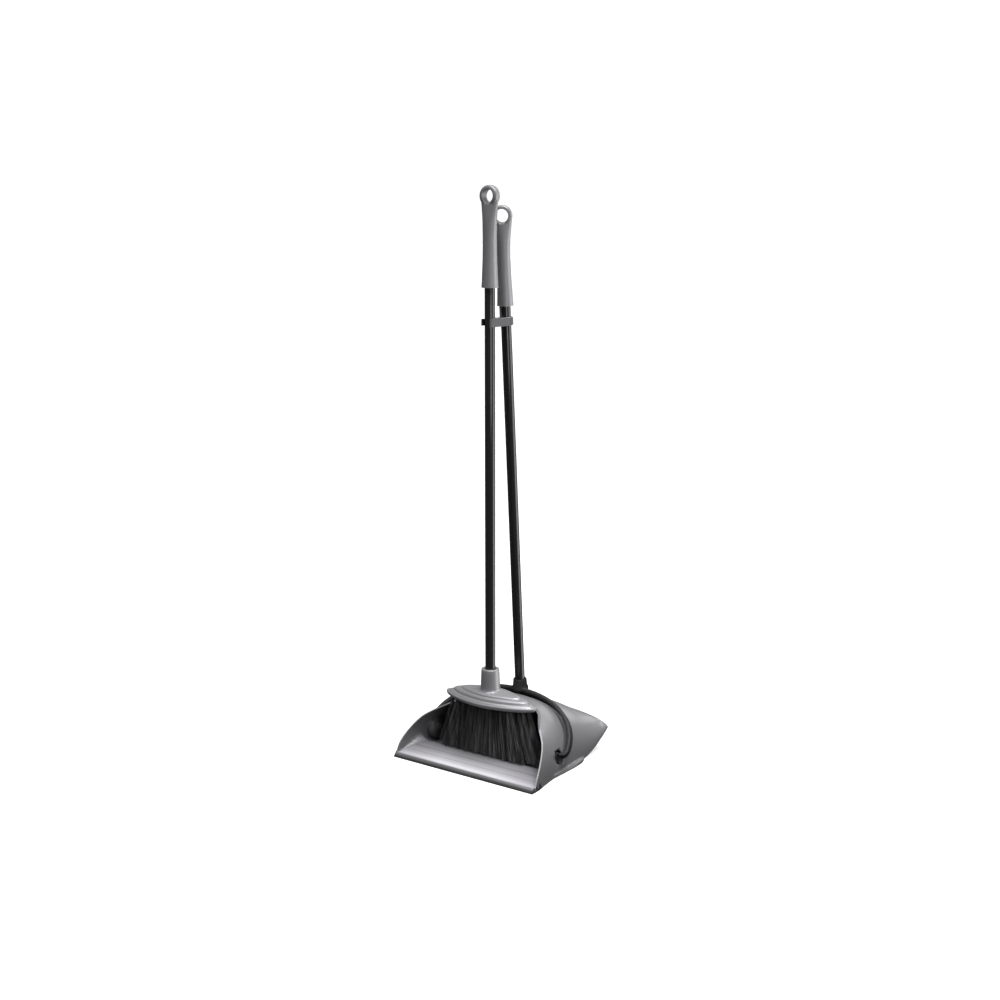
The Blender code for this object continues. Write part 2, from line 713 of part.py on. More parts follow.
def build_head(material):
    """The two-tiered cover with its pole socket, hollow underneath for the bristle block."""
    rings = [leaf_ring(sx, sy, HEAD_RIM_Z + rise) for sx, sy, rise in HEAD_TIERS]
    head = loft("broom_head_cover", rings, material)
    profile = (
        (0.0170, HEAD_TOP_Z - 0.0060), (0.0162, HEAD_TOP_Z + 0.0005),
        (SOCKET_BASE_RADIUS, HEAD_TOP_Z + 0.0040),
        (SOCKET_TOP_RADIUS, SOCKET_TOP_Z - 0.0012), (SOCKET_TOP_RADIUS - 0.0010, SOCKET_TOP_Z),
    )
    frame = Matrix.Translation((0.0, back(BROOM_BACK), 0.0))
    head = join(head, turned("socket", profile, None, frame, 36))
    sx, sy = HEAD_CAVITY
    low = leaf_ring(sx, sy, HEAD_RIM_Z - 0.005)
    high = leaf_ring(sx - 0.02, sy - 0.03, HEAD_RIM_Z + HEAD_CAVITY_DEPTH)
    head = cut(head, loft("hollow", [low, high]))
    bore = ((POLE_RADIUS + GAP, SOCKET_FLOOR_Z), (POLE_RADIUS + GAP, SOCKET_TOP_Z + 0.010))
    head = cut(head, turned("bore", bore, None, frame, 32))
    for x in SCREW_X:
        well = turned("well", ((0.0017, 0.0), (0.0017, 0.0086)), None, screw_frame(x), 12)
        head = cut(head, well)
    head.data.materials.clear()
    head.data.materials.append(material)
    head.data.shade_smooth()
    head.data.set_sharp_from_angle(angle=radians(35.0))
    return head


def screw_frame(x):
    """A frame at a screw's head with +Z going up into the cover."""
    return Matrix.Translation((x, back(BROOM_BACK), BLOCK_TOP_Z - 0.0030))


def build_block(material):
    sx, sy = HEAD_CAVITY
    low = leaf_ring(sx - 0.018, sy - 0.030, BLOCK_LOW_Z)
    high = leaf_ring(sx - 0.030, sy - 0.046, BLOCK_TOP_Z)
    body = loft("bristle_block", [low, high], material)
    for x in SCREW_X:
        well = ((0.0032, -0.0120), (0.0032, 0.0), (0.0017, 0.0), (0.0017, 0.0100))
        body = cut(body, turned("well", well, None, screw_frame(x), 16))
    return body


def build_screw(name, x, material):
    """A countersunk screw, head down, with its tip in the cover's post."""
    profile = (
        (0.0024, -0.0018), (0.0029, -0.0010), (0.0029, -0.0003), (0.0013, -0.0003),
        (0.0013, 0.0064), (0.0003, 0.0078),
    )
    return turned(name, profile, material, screw_frame(x), 14)


def bristle_row(index, material):
    """One row of the brush: a slab that fans out towards its tips."""
    top_z = BLOCK_LOW_Z - GAP
    rings = []
    for part in (0.0, 0.5, 1.0):
        half_x = BRISTLE_FOOT[0] + (BRISTLE_TOP[0] - BRISTLE_FOOT[0]) * part
        half_y = BRISTLE_FOOT[1] + (BRISTLE_TOP[1] - BRISTLE_FOOT[1]) * part
        z = BRISTLE_TIP_Z + (top_z - BRISTLE_TIP_Z) * part
        pitch = 2 * half_y / BRISTLE_ROWS
        low_y = -half_y + index * pitch + ROW_SPACING
        high_y = -half_y + (index + 1) * pitch - ROW_SPACING
        low_x = half_x * (1 - (low_y / half_y * 0.86) ** 2) ** 0.5
        high_x = half_x * (1 - (high_y / half_y * 0.86) ** 2) ** 0.5
        corners = ((low_x, low_y), (high_x, high_y), (-high_x, high_y), (-low_x, low_y))
        rings.append([Vector((x, y + back(BROOM_BACK), z)) for x, y in corners])
    return loft(f"bristle_row_{index + 1}", rings, material)


def build_dustpan(grey, black, gloss, rubber):
    build_pan(grey)
    build_lip_strip(rubber)
    build_bail(black)
    for label, side in (("right", 1), ("left", -1)):
        build_pin(f"pivot_pin_{label}", side, black)
        build_cap(f"pivot_cap_{label}", side, black)
    frame = pole_frame()
    lean = 1 / (frame.to_3x3() @ Vector((0, 0, 1))).z
    pole_low = 0.0120
    grip_rise = (DUSTPAN_GRIP_Z - BAIL_SOCKET_LOW_Z) * lean
    pole_length = grip_rise + 0.0800 - pole_low
    build_tube("dustpan_pole", socket_frame(pole_low), pole_length, gloss)
    build_core("dustpan_pole_insert", socket_frame(pole_low + 0.0010), 0.0300, black)
    build_core("dustpan_pole_plug", socket_frame(pole_low + pole_length - 0.0310), 0.0300, black)
    build_grip("dustpan_grip", socket_frame(grip_rise), DUSTPAN_GRIP_TURN, grey)
    build_clip(grey)
    build_jaw_liner(black)


def build_broom(grey, black, gloss, steel, bristle):
    build_head(grey)
    build_block(black)
    for label, x in zip(("left", "right"), SCREW_X):
        build_screw(f"head_screw_{label}", x, steel)
    for index in range(BRISTLE_ROWS):
        bristle_row(index, bristle)
    axis = Matrix.Translation((0.0, back(BROOM_BACK), 0.0))
    pole_low = SOCKET_FLOOR_Z + 0.0006
    pole_length = BROOM_GRIP_Z + 0.0800 - pole_low
    build_tube("broom_pole", axis @ Matrix.Translation((0, 0, pole_low)), pole_length, gloss)
    build_core("broom_pole_insert", axis @ Matrix.Translation((0, 0, pole_low + 0.0010)), 0.0320, black)
    plug_z = pole_low + pole_length - 0.0310
    build_core("broom_pole_plug", axis @ Matrix.Translation((0, 0, plug_z)), 0.0300, black)
    build_grip("broom_grip", axis @ Matrix.Translation((0, 0, BROOM_GRIP_Z)), 0.0, grey)


def main():
    clear_scene()
    grey = make_material("grey_plastic", GREY, 0.38, 0.15)
    black = make_material("black_plastic", BLACK, 0.45)
    gloss = make_material("gloss_black_tube", BLACK, 0.16)
    steel = make_material("steel", STEEL, 0.30, 1.0)
    rubber = make_material("black_rubber", BLACK, 0.70)
    bristle = make_material("black_bristle", BLACK, 0.60)
    build_dustpan(grey, black, gloss, rubber)
    build_broom(grey, black, gloss, steel, bristle)


main()
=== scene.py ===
"""The look of the dustpan and brush set: materials, bristles, moulded details, light and camera.

Metres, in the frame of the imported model: X across the pan, +Y to its back, +Z up, and the origin on
the floor.
"""

import random
from math import cos, pi, radians, sin, sqrt

import bmesh
import bpy
from mathutils import Matrix, Vector


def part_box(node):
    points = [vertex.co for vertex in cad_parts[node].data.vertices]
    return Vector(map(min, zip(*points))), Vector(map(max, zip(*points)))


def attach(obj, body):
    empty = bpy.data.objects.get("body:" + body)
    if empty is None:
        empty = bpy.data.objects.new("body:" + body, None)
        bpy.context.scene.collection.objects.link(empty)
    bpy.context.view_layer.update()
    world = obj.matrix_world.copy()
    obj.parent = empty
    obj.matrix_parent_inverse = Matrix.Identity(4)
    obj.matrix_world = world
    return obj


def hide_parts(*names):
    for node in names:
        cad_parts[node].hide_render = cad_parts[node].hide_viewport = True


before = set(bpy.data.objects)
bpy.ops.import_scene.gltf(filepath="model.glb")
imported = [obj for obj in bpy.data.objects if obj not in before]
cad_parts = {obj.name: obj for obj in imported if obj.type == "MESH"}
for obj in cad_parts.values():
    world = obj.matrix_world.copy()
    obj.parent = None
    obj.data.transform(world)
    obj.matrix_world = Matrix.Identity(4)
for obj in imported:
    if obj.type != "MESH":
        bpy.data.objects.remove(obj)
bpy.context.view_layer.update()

PAN = "pan"
HANDLE = "dustpan_handle"
BROOM = "broom"

LIP_LOW, LIP_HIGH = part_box("lip_strip")
HEAD_LOW, HEAD_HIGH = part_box("broom_head_cover")
POLE_LOW, POLE_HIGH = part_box("broom_pole")
BLOCK_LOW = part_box("bristle_block")[0]
FRONT_Y = LIP_LOW.y
BROOM_Y = (POLE_LOW.y + POLE_HIGH.y) / 2

PLAIN = (1.0, 1.0, 1.0)
WHITE = (1.0, 1.0, 1.0, 1.0)


# ---------------------------------------------------------------- materials


def new_material(name):
    """A node material with its node and link lists and its shader."""
    material = bpy.data.materials.new(name)
    material.use_nodes = True
    nodes = material.node_tree.nodes
    return material, nodes, material.node_tree.links, nodes["Principled BSDF"]


def object_coordinates(nodes, links, scale):
    """Object coordinates scaled per axis, for a pattern that stays on the piece."""
    where = nodes.new("ShaderNodeTexCoord")
    mapping = nodes.new("ShaderNodeMapping")
    mapping.inputs["Scale"].default_value = scale
    links.new(where.outputs["Object"], mapping.inputs["Vector"])
    return mapping.outputs["Vector"]


def noise(nodes, links, vector, scale, detail):
    """A noise value from 0 to 1 over a vector."""
    texture = nodes.new("ShaderNodeTexNoise")
    texture.inputs["Scale"].default_value = scale
    texture.inputs["Detail"].default_value = detail
    texture.inputs["Roughness"].default_value = 0.55
    links.new(vector, texture.inputs["Vector"])
    return texture.outputs["Fac"]


def ramp(nodes, links, value, stops):
    """A colour ramp over a value, from (position, colour) stops."""
    node = nodes.new("ShaderNodeValToRGB")
    elements = node.color_ramp.elements
    while len(elements) < len(stops):
        elements.new(0.5)
    for element, (position, color) in zip(elements, stops):
        element.position = position
        element.color = color
    links.new(value, node.inputs["Fac"])
    return node.outputs["Color"]


def map_range(nodes, links, value, low, high):
    """A value from 0 to 1 spread between low and high."""
    node = nodes.new("ShaderNodeMapRange")
    node.inputs["To Min"].default_value = low
    node.inputs["To Max"].default_value = high
    links.new(value, node.inputs["Value"])
    return node.outputs["Result"]


def bump(nodes, links, height, strength, distance, shader):
    """Fine relief on a shader from a height value."""
    node = nodes.new("ShaderNodeBump")
    node.inputs["Strength"].default_value = strength
    node.inputs["Distance"].default_value = distance
    links.new(height, node.inputs["Height"])
    links.new(node.outputs["Normal"], shader.inputs["Normal"])


def multiply(nodes, links, color):
    """A node that multiplies a colour; its caller sets the second colour and how far it goes."""
    node = nodes.new("ShaderNodeMixRGB")
    node.blend_type = "MULTIPLY"
    links.new(color, node.inputs["Color1"])
    return node


def shade(value):
    """A grey with the slightly violet cast of the set's plastic."""
    return (value, value * 0.985, value * 1.035, 1.0)


def grey_plastic(name, tone, rough, metallic, grain=900.0, coat=0.10):
    """Satin grey moulding with faint flow marks and a fine spark-eroded grain."""
    material, nodes, links, shader = new_material(name)
    vector = object_coordinates(nodes, links, PLAIN)
    flow = noise(nodes, links, object_coordinates(nodes, links, (1.0, 1.0, 0.35)), 9.0, 3.0)
    stops = ((0.30, shade(tone * 0.975)), (0.70, shade(tone * 1.025)))
    links.new(ramp(nodes, links, flow, stops), shader.inputs["Base Color"])
    smudge = noise(nodes, links, vector, 24.0, 3.0)
    links.new(map_range(nodes, links, smudge, rough - 0.02, rough + 0.03), shader.inputs["Roughness"])
    shader.inputs["Metallic"].default_value = metallic
    shader.inputs["Specular IOR Level"].default_value = 0.5
    shader.inputs["Coat Weight"].default_value = coat
    shader.inputs["Coat Roughness"].default_value = 0.20
    bump(nodes, links, noise(nodes, links, vector, grain, 2.0), 0.05, 0.0003, shader)
    return material


# The stretch that the ramp's painted highlight and painted shade run over from its front to its back,
# and where its ends are darkened with painted shade.
PAINTED_LIGHT_FRONT = FRONT_Y + 0.005
PAINTED_LIGHT_BACK = FRONT_Y + 0.062
MIDDLE_HALF = 0.055
END_HALF = 0.130
END_SHADE_TONE = 0.66
SCUFF_STRENGTH = 0.12

# The ramp's tone from its front to its back: a painted highlight near the lip, painted shade towards
# the back, and at each step a pale ridge and a painted dark crease line.
RAMP_PAINTED_LIGHT = (
    (0.0, 0.22), (0.06, 0.46), (0.14, 0.54), (0.26, 0.36), (0.33, 0.33), (0.345, 0.24), (0.37, 0.31),
    (0.56, 0.22), (0.575, 0.15), (0.60, 0.21), (1.0, 0.13),
)


def painted_light_ramp(name):
    """The pan's plastic on the ramp: a painted highlight towards the lip and the middle, painted shade
    towards the back and the ends, with scuffs along it.
    """
    material, nodes, links, shader = new_material(name)
    where = nodes.new("ShaderNodeTexCoord")
    split = nodes.new("ShaderNodeSeparateXYZ")
    links.new(where.outputs["Object"], split.inputs["Vector"])
    depth = nodes.new("ShaderNodeMapRange")
    depth.inputs["From Min"].default_value = PAINTED_LIGHT_FRONT
    depth.inputs["From Max"].default_value = PAINTED_LIGHT_BACK
    links.new(split.outputs["Y"], depth.inputs["Value"])
    # Painted highlight towards the lip, painted shade towards the back and in the steps.
    stops = [(part, shade(tone)) for part, tone in RAMP_PAINTED_LIGHT]
    painted_tone = ramp(nodes, links, depth.outputs["Result"], stops)
    middle = nodes.new("ShaderNodeMath")
    middle.operation = "ABSOLUTE"
    links.new(split.outputs["X"], middle.inputs[0])
    ends = nodes.new("ShaderNodeMapRange")
    ends.inputs["From Min"].default_value = MIDDLE_HALF
    ends.inputs["From Max"].default_value = END_HALF
    links.new(middle.outputs["Value"], ends.inputs["Value"])
    # Painted shade: the tone darkens towards both ends of the ramp.
    end_shade = multiply(nodes, links, painted_tone)
    end_shade.inputs["Color2"].default_value = shade(END_SHADE_TONE)
    links.new(ends.outputs["Result"], end_shade.inputs["Fac"])
    scuff = noise(nodes, links, object_coordinates(nodes, links, (10.0, 500.0, 500.0)), 1.0, 3.0)
    tint = multiply(nodes, links, end_shade.outputs["Color"])
    tint.inputs["Fac"].default_value = SCUFF_STRENGTH
    links.new(scuff, tint.inputs["Color2"])
    links.new(tint.outputs["Color"], shader.inputs["Base Color"])
    links.new(map_range(nodes, links, scuff, 0.26, 0.36), shader.inputs["Roughness"])
    shader.inputs["Metallic"].default_value = 0.15
    bump(nodes, links, scuff, 0.05, 0.0002, shader)
    return material


def black_plastic(name, tone, rough):
    """Matte black moulding with a fine grain and slightly rubbed tone."""
    material, nodes, links, shader = new_material(name)
    shader.inputs["Specular IOR Level"].default_value = 0.32
    vector = object_coordinates(nodes, links, PLAIN)
    patch = noise(nodes, links, vector, 30.0, 4.0)
    rubbed = tone * 1.8
    stops = ((0.3, (tone, tone, tone * 1.04, 1.0)), (0.8, (rubbed, rubbed, tone * 1.9, 1.0)))
    links.new(ramp(nodes, links, patch, stops), shader.inputs["Base Color"])
    links.new(map_range(nodes, links, patch, rough - 0.05, rough + 0.08), shader.inputs["Roughness"])
    bump(nodes, links, noise(nodes, links, vector, 700.0, 2.0), 0.16, 0.0004, shader)
    return material


def gloss_tube(name):
    """Gloss black coating on steel tube, with fine drawn lines along it."""
    material, nodes, links, shader = new_material(name)
    vector = object_coordinates(nodes, links, (900.0, 900.0, 4.0))
    lines = noise(nodes, links, vector, 1.0, 2.0)
    stops = ((0.3, (0.008, 0.008, 0.0085, 1.0)), (0.8, (0.014, 0.014, 0.0145, 1.0)))
    links.new(ramp(nodes, links, lines, stops), shader.inputs["Base Color"])
    links.new(map_range(nodes, links, lines, 0.12, 0.17), shader.inputs["Roughness"])
    shader.inputs["Specular IOR Level"].default_value = 0.42
    bump(nodes, links, lines, 0.05, 0.0002, shader)
    return material


def rubber(name):
    """Soft black rubber with a little dust in its grain."""
    material, nodes, links, shader = new_material(name)
    vector = object_coordinates(nodes, links, PLAIN)
    dust = noise(nodes, links, vector, 60.0, 6.0)
    stops = ((0.35, (0.008, 0.008, 0.009, 1.0)), (0.85, (0.022, 0.022, 0.023, 1.0)))
    links.new(ramp(nodes, links, dust, stops), shader.inputs["Base Color"])
    links.new(map_range(nodes, links, dust, 0.55, 0.75), shader.inputs["Roughness"])
    bump(nodes, links, noise(nodes, links, vector, 1400.0, 3.0), 0.25, 0.0004, shader)
    return material


def filament(name):
    """Black nylon filaments: each tuft a little lighter or darker than the next."""
    material, nodes, links, shader = new_material(name)
    vector = object_coordinates(nodes, links, (1.0, 1.0, 0.02))
    tone = noise(nodes, links, vector, 170.0, 3.0)
    stops = (
        (0.34, (0.010, 0.010, 0.0105, 1.0)),
        (0.52, (0.044, 0.044, 0.046, 1.0)),
        (0.74, (0.125, 0.125, 0.128, 1.0)),
    )
    links.new(ramp(nodes, links, tone, stops), shader.inputs["Base Color"])
    links.new(map_range(nodes, links, tone, 0.34, 0.50), shader.inputs["Roughness"])
    fine = noise(nodes, links, object_coordinates(nodes, links, PLAIN), 2500.0, 1.0)
    bump(nodes, links, fine, 0.10, 0.0001, shader)
    return material


def steel(name):
    """Bare steel with fine scratches."""
    material, nodes, links, shader = new_material(name)
    vector = object_coordinates(nodes, links, PLAIN)
    scratch = noise(nodes, links, vector, 300.0, 4.0)
    stops = ((0.3, shade(0.38)), (0.8, shade(0.55)))
    links.new(ramp(nodes, links, scratch, stops), shader.inputs["Base Color"])
    links.new(map_range(nodes, links, scratch, 0.22, 0.40), shader.inputs["Roughness"])
    shader.inputs["Metallic"].default_value = 1.0
    bump(nodes, links, scratch, 0.08, 0.0002, shader)
    return material


GREY_PAN = grey_plastic("pan_grey_plastic", 0.150, 0.34, 0.18)
GREY_RAMP = painted_light_ramp("ramp_painted_light_grey_plastic")
# A darker copy of the pan's grey: painted shade on the bead along the front.
GREY_BEAD_SHADE = grey_plastic("bead_painted_shade_grey_plastic", 0.078, 0.42, 0.05)
# A darker copy of the pan's grey: painted shade inside the pan and on the left rim.
GREY_INSIDE_SHADE = grey_plastic("inner_painted_shade_grey_plastic", 0.105, 0.50, 0.0)
# A dark copy of the pan's grey: painted shade on the boss inside the pan.
GREY_BOSS_SHADE = grey_plastic("boss_painted_shade_grey_plastic", 0.050, 0.65, 0.0)
# A paler copy of the pan's grey: painted highlight along the mouth's rim.
GREY_RIM_HIGHLIGHT = grey_plastic("rim_painted_highlight_grey_plastic", 0.29, 0.30, 0.10)
GREY_HEAD = grey_plastic("head_grey_plastic", 0.165, 0.32, 0.15, 450.0, 0.12)
GREY_GRIP = grey_plastic("grip_grey_plastic", 0.160, 0.36, 0.10, 1200.0)
BLACK_PLASTIC = black_plastic("hoop_black_plastic", 0.010, 0.62)
# Black plastic for the inserts, pins and caps; on the pan it is also painted shade in the pivot's
# pockets.
BLACK_INSERT_AND_SHADE = black_plastic("insert_and_shade_black_plastic", 0.010, 0.50)
TUBE = gloss_tube("pole_gloss_black")
RUBBER = rubber("lip_black_rubber")
FILAMENT = filament("bristle_black_filament")
STEEL = steel("screw_steel")


# ---------------------------------------------------------------- mesh helpers


def add_object(name, mesh, material, smooth):
    """An object of one material, shaded smooth except past an angle in degrees."""
    obj = bpy.data.objects.new(name, mesh)
    bpy.context.scene.collection.objects.link(obj)
    mesh.materials.clear()
    mesh.materials.append(material)
    mesh.shade_smooth()
    mesh.set_sharp_from_angle(angle=radians(smooth))
    return obj


def loft(name, rings, material):
    """A closed skin over rings of equal point counts."""
    bm = bmesh.new()
    rows = [[bm.verts.new(point) for point in ring] for ring in rings]
    count = len(rows[0])
    for low, high in zip(rows, rows[1:]):
        for i in range(count):
            j = (i + 1) % count
            bm.faces.new((low[i], low[j], high[j], high[i]))
    bm.faces.new(rows[0])
    bm.faces.new(rows[-1])
    bmesh.ops.recalc_face_normals(bm, faces=bm.faces)
    mesh = bpy.data.meshes.new(name)
    bm.to_mesh(mesh)
    bm.free()
    return add_object(name, mesh, material, 50.0)


WELD = 0.000004
FLAT_DEGREES = 0.6


def detailed(node, body, material, smooth=38.0, bevel=0.0):
    """A welded, softly shaded copy of a CAD node, with rounded edges where bevel says."""
    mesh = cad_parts[node].data.copy()
    bm = bmesh.new()
    bm.from_mesh(mesh)
    bmesh.ops.remove_doubles(bm, verts=bm.verts, dist=WELD)
    flat = radians(FLAT_DEGREES)
    bmesh.ops.dissolve_limit(bm, angle_limit=flat, verts=bm.verts, edges=bm.edges)
    bmesh.ops.triangulate(bm, faces=[f for f in bm.faces if len(f.verts) > 4])
    bm.to_mesh(mesh)
    bm.free()
    piece = add_object(node + "_finish", mesh, material, smooth)
    if bevel:
        edge = piece.modifiers.new("edge", "BEVEL")
        edge.width = bevel
        edge.segments = 2
        edge.limit_method = "ANGLE"
        edge.angle_limit = radians(smooth)
        edge.harden_normals = False
    weighted = piece.modifiers.new("weighted", "WEIGHTED_NORMAL")
    weighted.keep_sharp = True
    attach(piece, body)
    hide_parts(node)
    return piece


def join_tubes(name, tubes, sides, material):
    """One mesh from many closed tubes, each given as its ring points in order."""
    vertices = []
    faces = []
    for points in tubes:
        start = len(vertices)
        vertices += points
        rings = len(points) // sides
        for r in range(rings - 1):
            for i in range(sides):
                a = start + r * sides + i
                b = start + r * sides + (i + 1) % sides
                faces.append((a, b, b + sides, a + sides))
        faces.append(tuple(start + i for i in reversed(range(sides))))
        faces.append(tuple(start + (rings - 1) * sides + i for i in range(sides)))
    mesh = bpy.data.meshes.new(name)
    mesh.from_pydata(vertices, [], faces)
    mesh.validate()
    return add_object(name, mesh, material, 60.0)


# ---------------------------------------------------------------- bristles


ROWS = 5
TUFTS = 17
STRANDS = 42
SEED = 40
TOP_Z = BLOCK_LOW.z + 0.0012
TIP_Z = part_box("bristle_row_3")[0].z
TOP_HALF = (0.0755, 0.0210)
FOOT_HALF = (0.1020, 0.0295)

# Every other row is set over by a part of a tuft, and the outer rows are shorter.
STAGGER = 0.25
ROUNDING = 0.86
FOOT_ROUNDING = 0.7

# A tuft's radius, how much wider its tips spread, its lean, and how uneven its tips are.
TUFT_RADIUS = 0.0024
TUFT_FLARE = 1.9
LEAN_X = 0.0012
LEAN_Y = 0.0008
TUFT_UNEVEN = 0.0008
TIP_UNEVEN = 0.0016

STRAND_RADIUS = 0.00030
STRAND_SIDES = 3
STRAND_STEPS = 4
TAPER = 0.25
BOW = 0.0007
FLARE_POWER = 1.15


def tuft_place(row, tuft):
    """Where a tuft leaves the block and where its tips end, as offsets from the broom's axis."""
    across = (row + 0.5) / ROWS * 2 - 1
    reach = sqrt(1 - (across * ROUNDING) ** 2)
    along = (tuft + 0.5 + STAGGER * (row % 2)) / (TUFTS + STAGGER) * 2 - 1
    top = Vector((along * reach * TOP_HALF[0], across * TOP_HALF[1], 0.0))
    foot = Vector((along * reach ** FOOT_ROUNDING * FOOT_HALF[0], across * FOOT_HALF[1], 0.0))
    return top, foot


def strand(rng, top, foot, tip_z):
    """The ring points of one filament: a thin tapered tube, bowed a little."""
    points = []
    bow = Vector((rng.uniform(-1, 1), rng.uniform(-1, 1), 0.0)) * BOW
    twist = rng.uniform(0, 2 * pi)
    for step in range(STRAND_STEPS + 1):
        part = step / STRAND_STEPS
        centre = top.lerp(foot, part ** FLARE_POWER) + bow * sin(pi * part)
        z = TOP_Z + (tip_z - TOP_Z) * part
        radius = STRAND_RADIUS * (1.0 - TAPER * part)
        for i in range(STRAND_SIDES):
            turn = twist + 2 * pi * i / STRAND_SIDES
            x = centre.x + radius * cos(turn)
            y = BROOM_Y + centre.y + radius * sin(turn)
            points.append((x, y, z))
    return points


def bristle_row(row):
    """One row of tufts, each of separate filaments with its own lean and uneven tips."""
    rng = random.Random(SEED + row)
    strands = []
    for tuft in range(TUFTS):
        top, foot = tuft_place(row, tuft)
        tuft_tip = TIP_Z + abs(rng.gauss(0.0, TUFT_UNEVEN))
        lean = Vector((rng.gauss(0, LEAN_X), rng.gauss(0, LEAN_Y), 0.0))
        for _ in range(STRANDS):
            turn = rng.uniform(0, 2 * pi)
            radius = TUFT_RADIUS * sqrt(rng.random())
            offset = Vector((cos(turn), sin(turn), 0.0)) * radius
            flare = offset * TUFT_FLARE + lean
            tip = tuft_tip + abs(rng.gauss(0.0, TIP_UNEVEN))
            strands.append(strand(rng, top + offset, foot + flare, tip))
    piece = join_tubes(f"bristles_{row + 1}", strands, STRAND_SIDES, FILAMENT)
    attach(piece, BROOM)
    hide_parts(f"bristle_row_{row + 1}")


for row_index in range(ROWS):
    bristle_row(row_index)


# ---------------------------------------------------------------- the pan


PIVOT = Vector((0.0, FRONT_Y + 0.089, 0.028))

# Painted shade: the pivot's pocket outside is coloured black, and the boss that stands out inside a
# dark grey.
POCKET_X = 0.1130
POCKET_SHADE_RADIUS = 0.0112
POCKET_RADIUS = 0.0156
POCKET_WALL = 0.8
BOSS_X = 0.1215
BOSS_RADIUS = 0.0182
BOSS_FACING = 0.5

# The ramp with its painted highlight and shade, measured back from the front edge.
RAMP_FRONT = 0.0055
RAMP_BACK = 0.0605
RAMP_TOP = 0.0180
RAMP_FACING = 0.72
CHEEK_BACK = 0.012

# The mouth's rim: faces that look forwards, on the front panels or above the opening's foot. On the
# right, up to a height, it takes a paler grey as a painted highlight; on the left it takes the
# inside's painted shade.
RIM_SIDE_FACING = 0.03
RIM_FORWARD = -0.25
PANEL_X = 0.1150
OPENING_Z = 0.03
RIM_LOW = 0.0085
HOOD_BACK = 0.122
RIM_HIGHLIGHT_TOP = 0.0700

# A face is inside when it looks towards the hollow's middle line; inside faces take a darker grey,
# painted shade.
HOLLOW_Z = 0.045
INSIDE_BACK = 0.0070

# The outside grey, the ramp's painted highlight and shade, the rim's painted highlight, and painted
# shade in the pivot's pockets, inside and on the boss.
OUTSIDE, PAINTED_RAMP, RIM, POCKET_SHADE, INSIDE, BOSS = range(6)


def ramp_half(back):
    """Half the ramp's width at a distance back from the front edge."""
    if back < CHEEK_BACK:
        return 0.1312 - 0.10 * back
    return 0.1300 - 0.4773 * (back - CHEEK_BACK)


def on_ramp(center, normal, back):
    """Whether a face is on the ramp's top."""
    level = center.z < RAMP_TOP and normal.z > RAMP_FACING
    return RAMP_FRONT < back < RAMP_BACK and level and abs(center.x) < ramp_half(back)


def on_rim(center, normal, back):
    """Whether a face is on the edge around the mouth."""
    thin = abs(normal.x) < RIM_SIDE_FACING and normal.y < RIM_FORWARD
    around = abs(center.x) > PANEL_X or center.z > OPENING_Z
    return thin and around and center.z > RIM_LOW and back < HOOD_BACK


def pan_region(center, normal):
    """Which of the pan's materials a face takes, from where it is and which way it faces. Apart from
    the outside grey, each is painted light: a painted highlight on the ramp and the right rim, painted
    shade in the pivot's pockets, on the boss, inside and on the left rim.
    """
    back = center.y - FRONT_Y
    aside = abs(center.x)
    spread = Vector((center.y - PIVOT.y, center.z - PIVOT.z)).length
    outward = normal.x * (1 if center.x > 0 else -1)
    pocket_wall = spread < POCKET_RADIUS and abs(normal.x) < POCKET_WALL
    if aside > POCKET_X and (spread < POCKET_SHADE_RADIUS or pocket_wall):
        return POCKET_SHADE
    if aside < BOSS_X and spread < BOSS_RADIUS and outward < BOSS_FACING:
        return BOSS
    if on_ramp(center, normal, back):
        return PAINTED_RAMP
    if on_rim(center, normal, back):
        if center.x < 0.0:
            return INSIDE
        return RIM if center.z < RIM_HIGHLIGHT_TOP else OUTSIDE
    to_middle = Vector((0.0, center.y, HOLLOW_Z)) - center
    if normal.dot(to_middle) > 0.0 and back > INSIDE_BACK:
        return INSIDE
    return OUTSIDE


def build_pan():
    """The pan with its materials in the order of the region numbers."""
    pan = detailed("pan_body", PAN, GREY_PAN, 32.0)
    for extra in (GREY_RAMP, GREY_RIM_HIGHLIGHT, BLACK_INSERT_AND_SHADE, GREY_INSIDE_SHADE, GREY_BOSS_SHADE):
        pan.data.materials.append(extra)
    for face in pan.data.polygons:
        face.material_index = pan_region(face.center, face.normal)


END_EASE = 0.0007
END_SHRINK = 0.80
BEAD_SHORTER = 0.0006

# The outlines of the lip and the bead across the front, as (offset back, height).
LIP_OUTLINE = (
    (0.0207, 0.0), (0.0207, 0.0027), (0.0058, 0.0027), (0.0056, 0.0036), (0.0030, 0.0036),
    (0.0014, 0.0033), (0.0005, 0.0024), (0.0001, 0.0012), (0.0003, 0.0002), (0.0010, 0.0),
)
BEAD_OUTLINE = (
    (0.0059, 0.0034), (0.0059, 0.0064), (0.0052, 0.0070), (0.0042, 0.0071), (0.0030, 0.0065),
    (0.0019, 0.0053), (0.0011, 0.0038), (0.0012, 0.0031), (0.0020, 0.0030),
)


def strip_along_front(name, outline, half, material):
    """A long piece across the pan's front from an outline, eased at its ends."""
    middle_z = sum(z for y, z in outline) / len(outline)
    full = half - END_EASE
    steps = ((-half, END_SHRINK), (-full, 1.0), (0.0, 1.0), (full, 1.0), (half, END_SHRINK))
    rings = [
        [Vector((x, FRONT_Y + y, middle_z + (z - middle_z) * shrink)) for y, z in outline]
        for x, shrink in steps
    ]
    piece = loft(name, rings, material)
    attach(piece, PAN)
    return piece


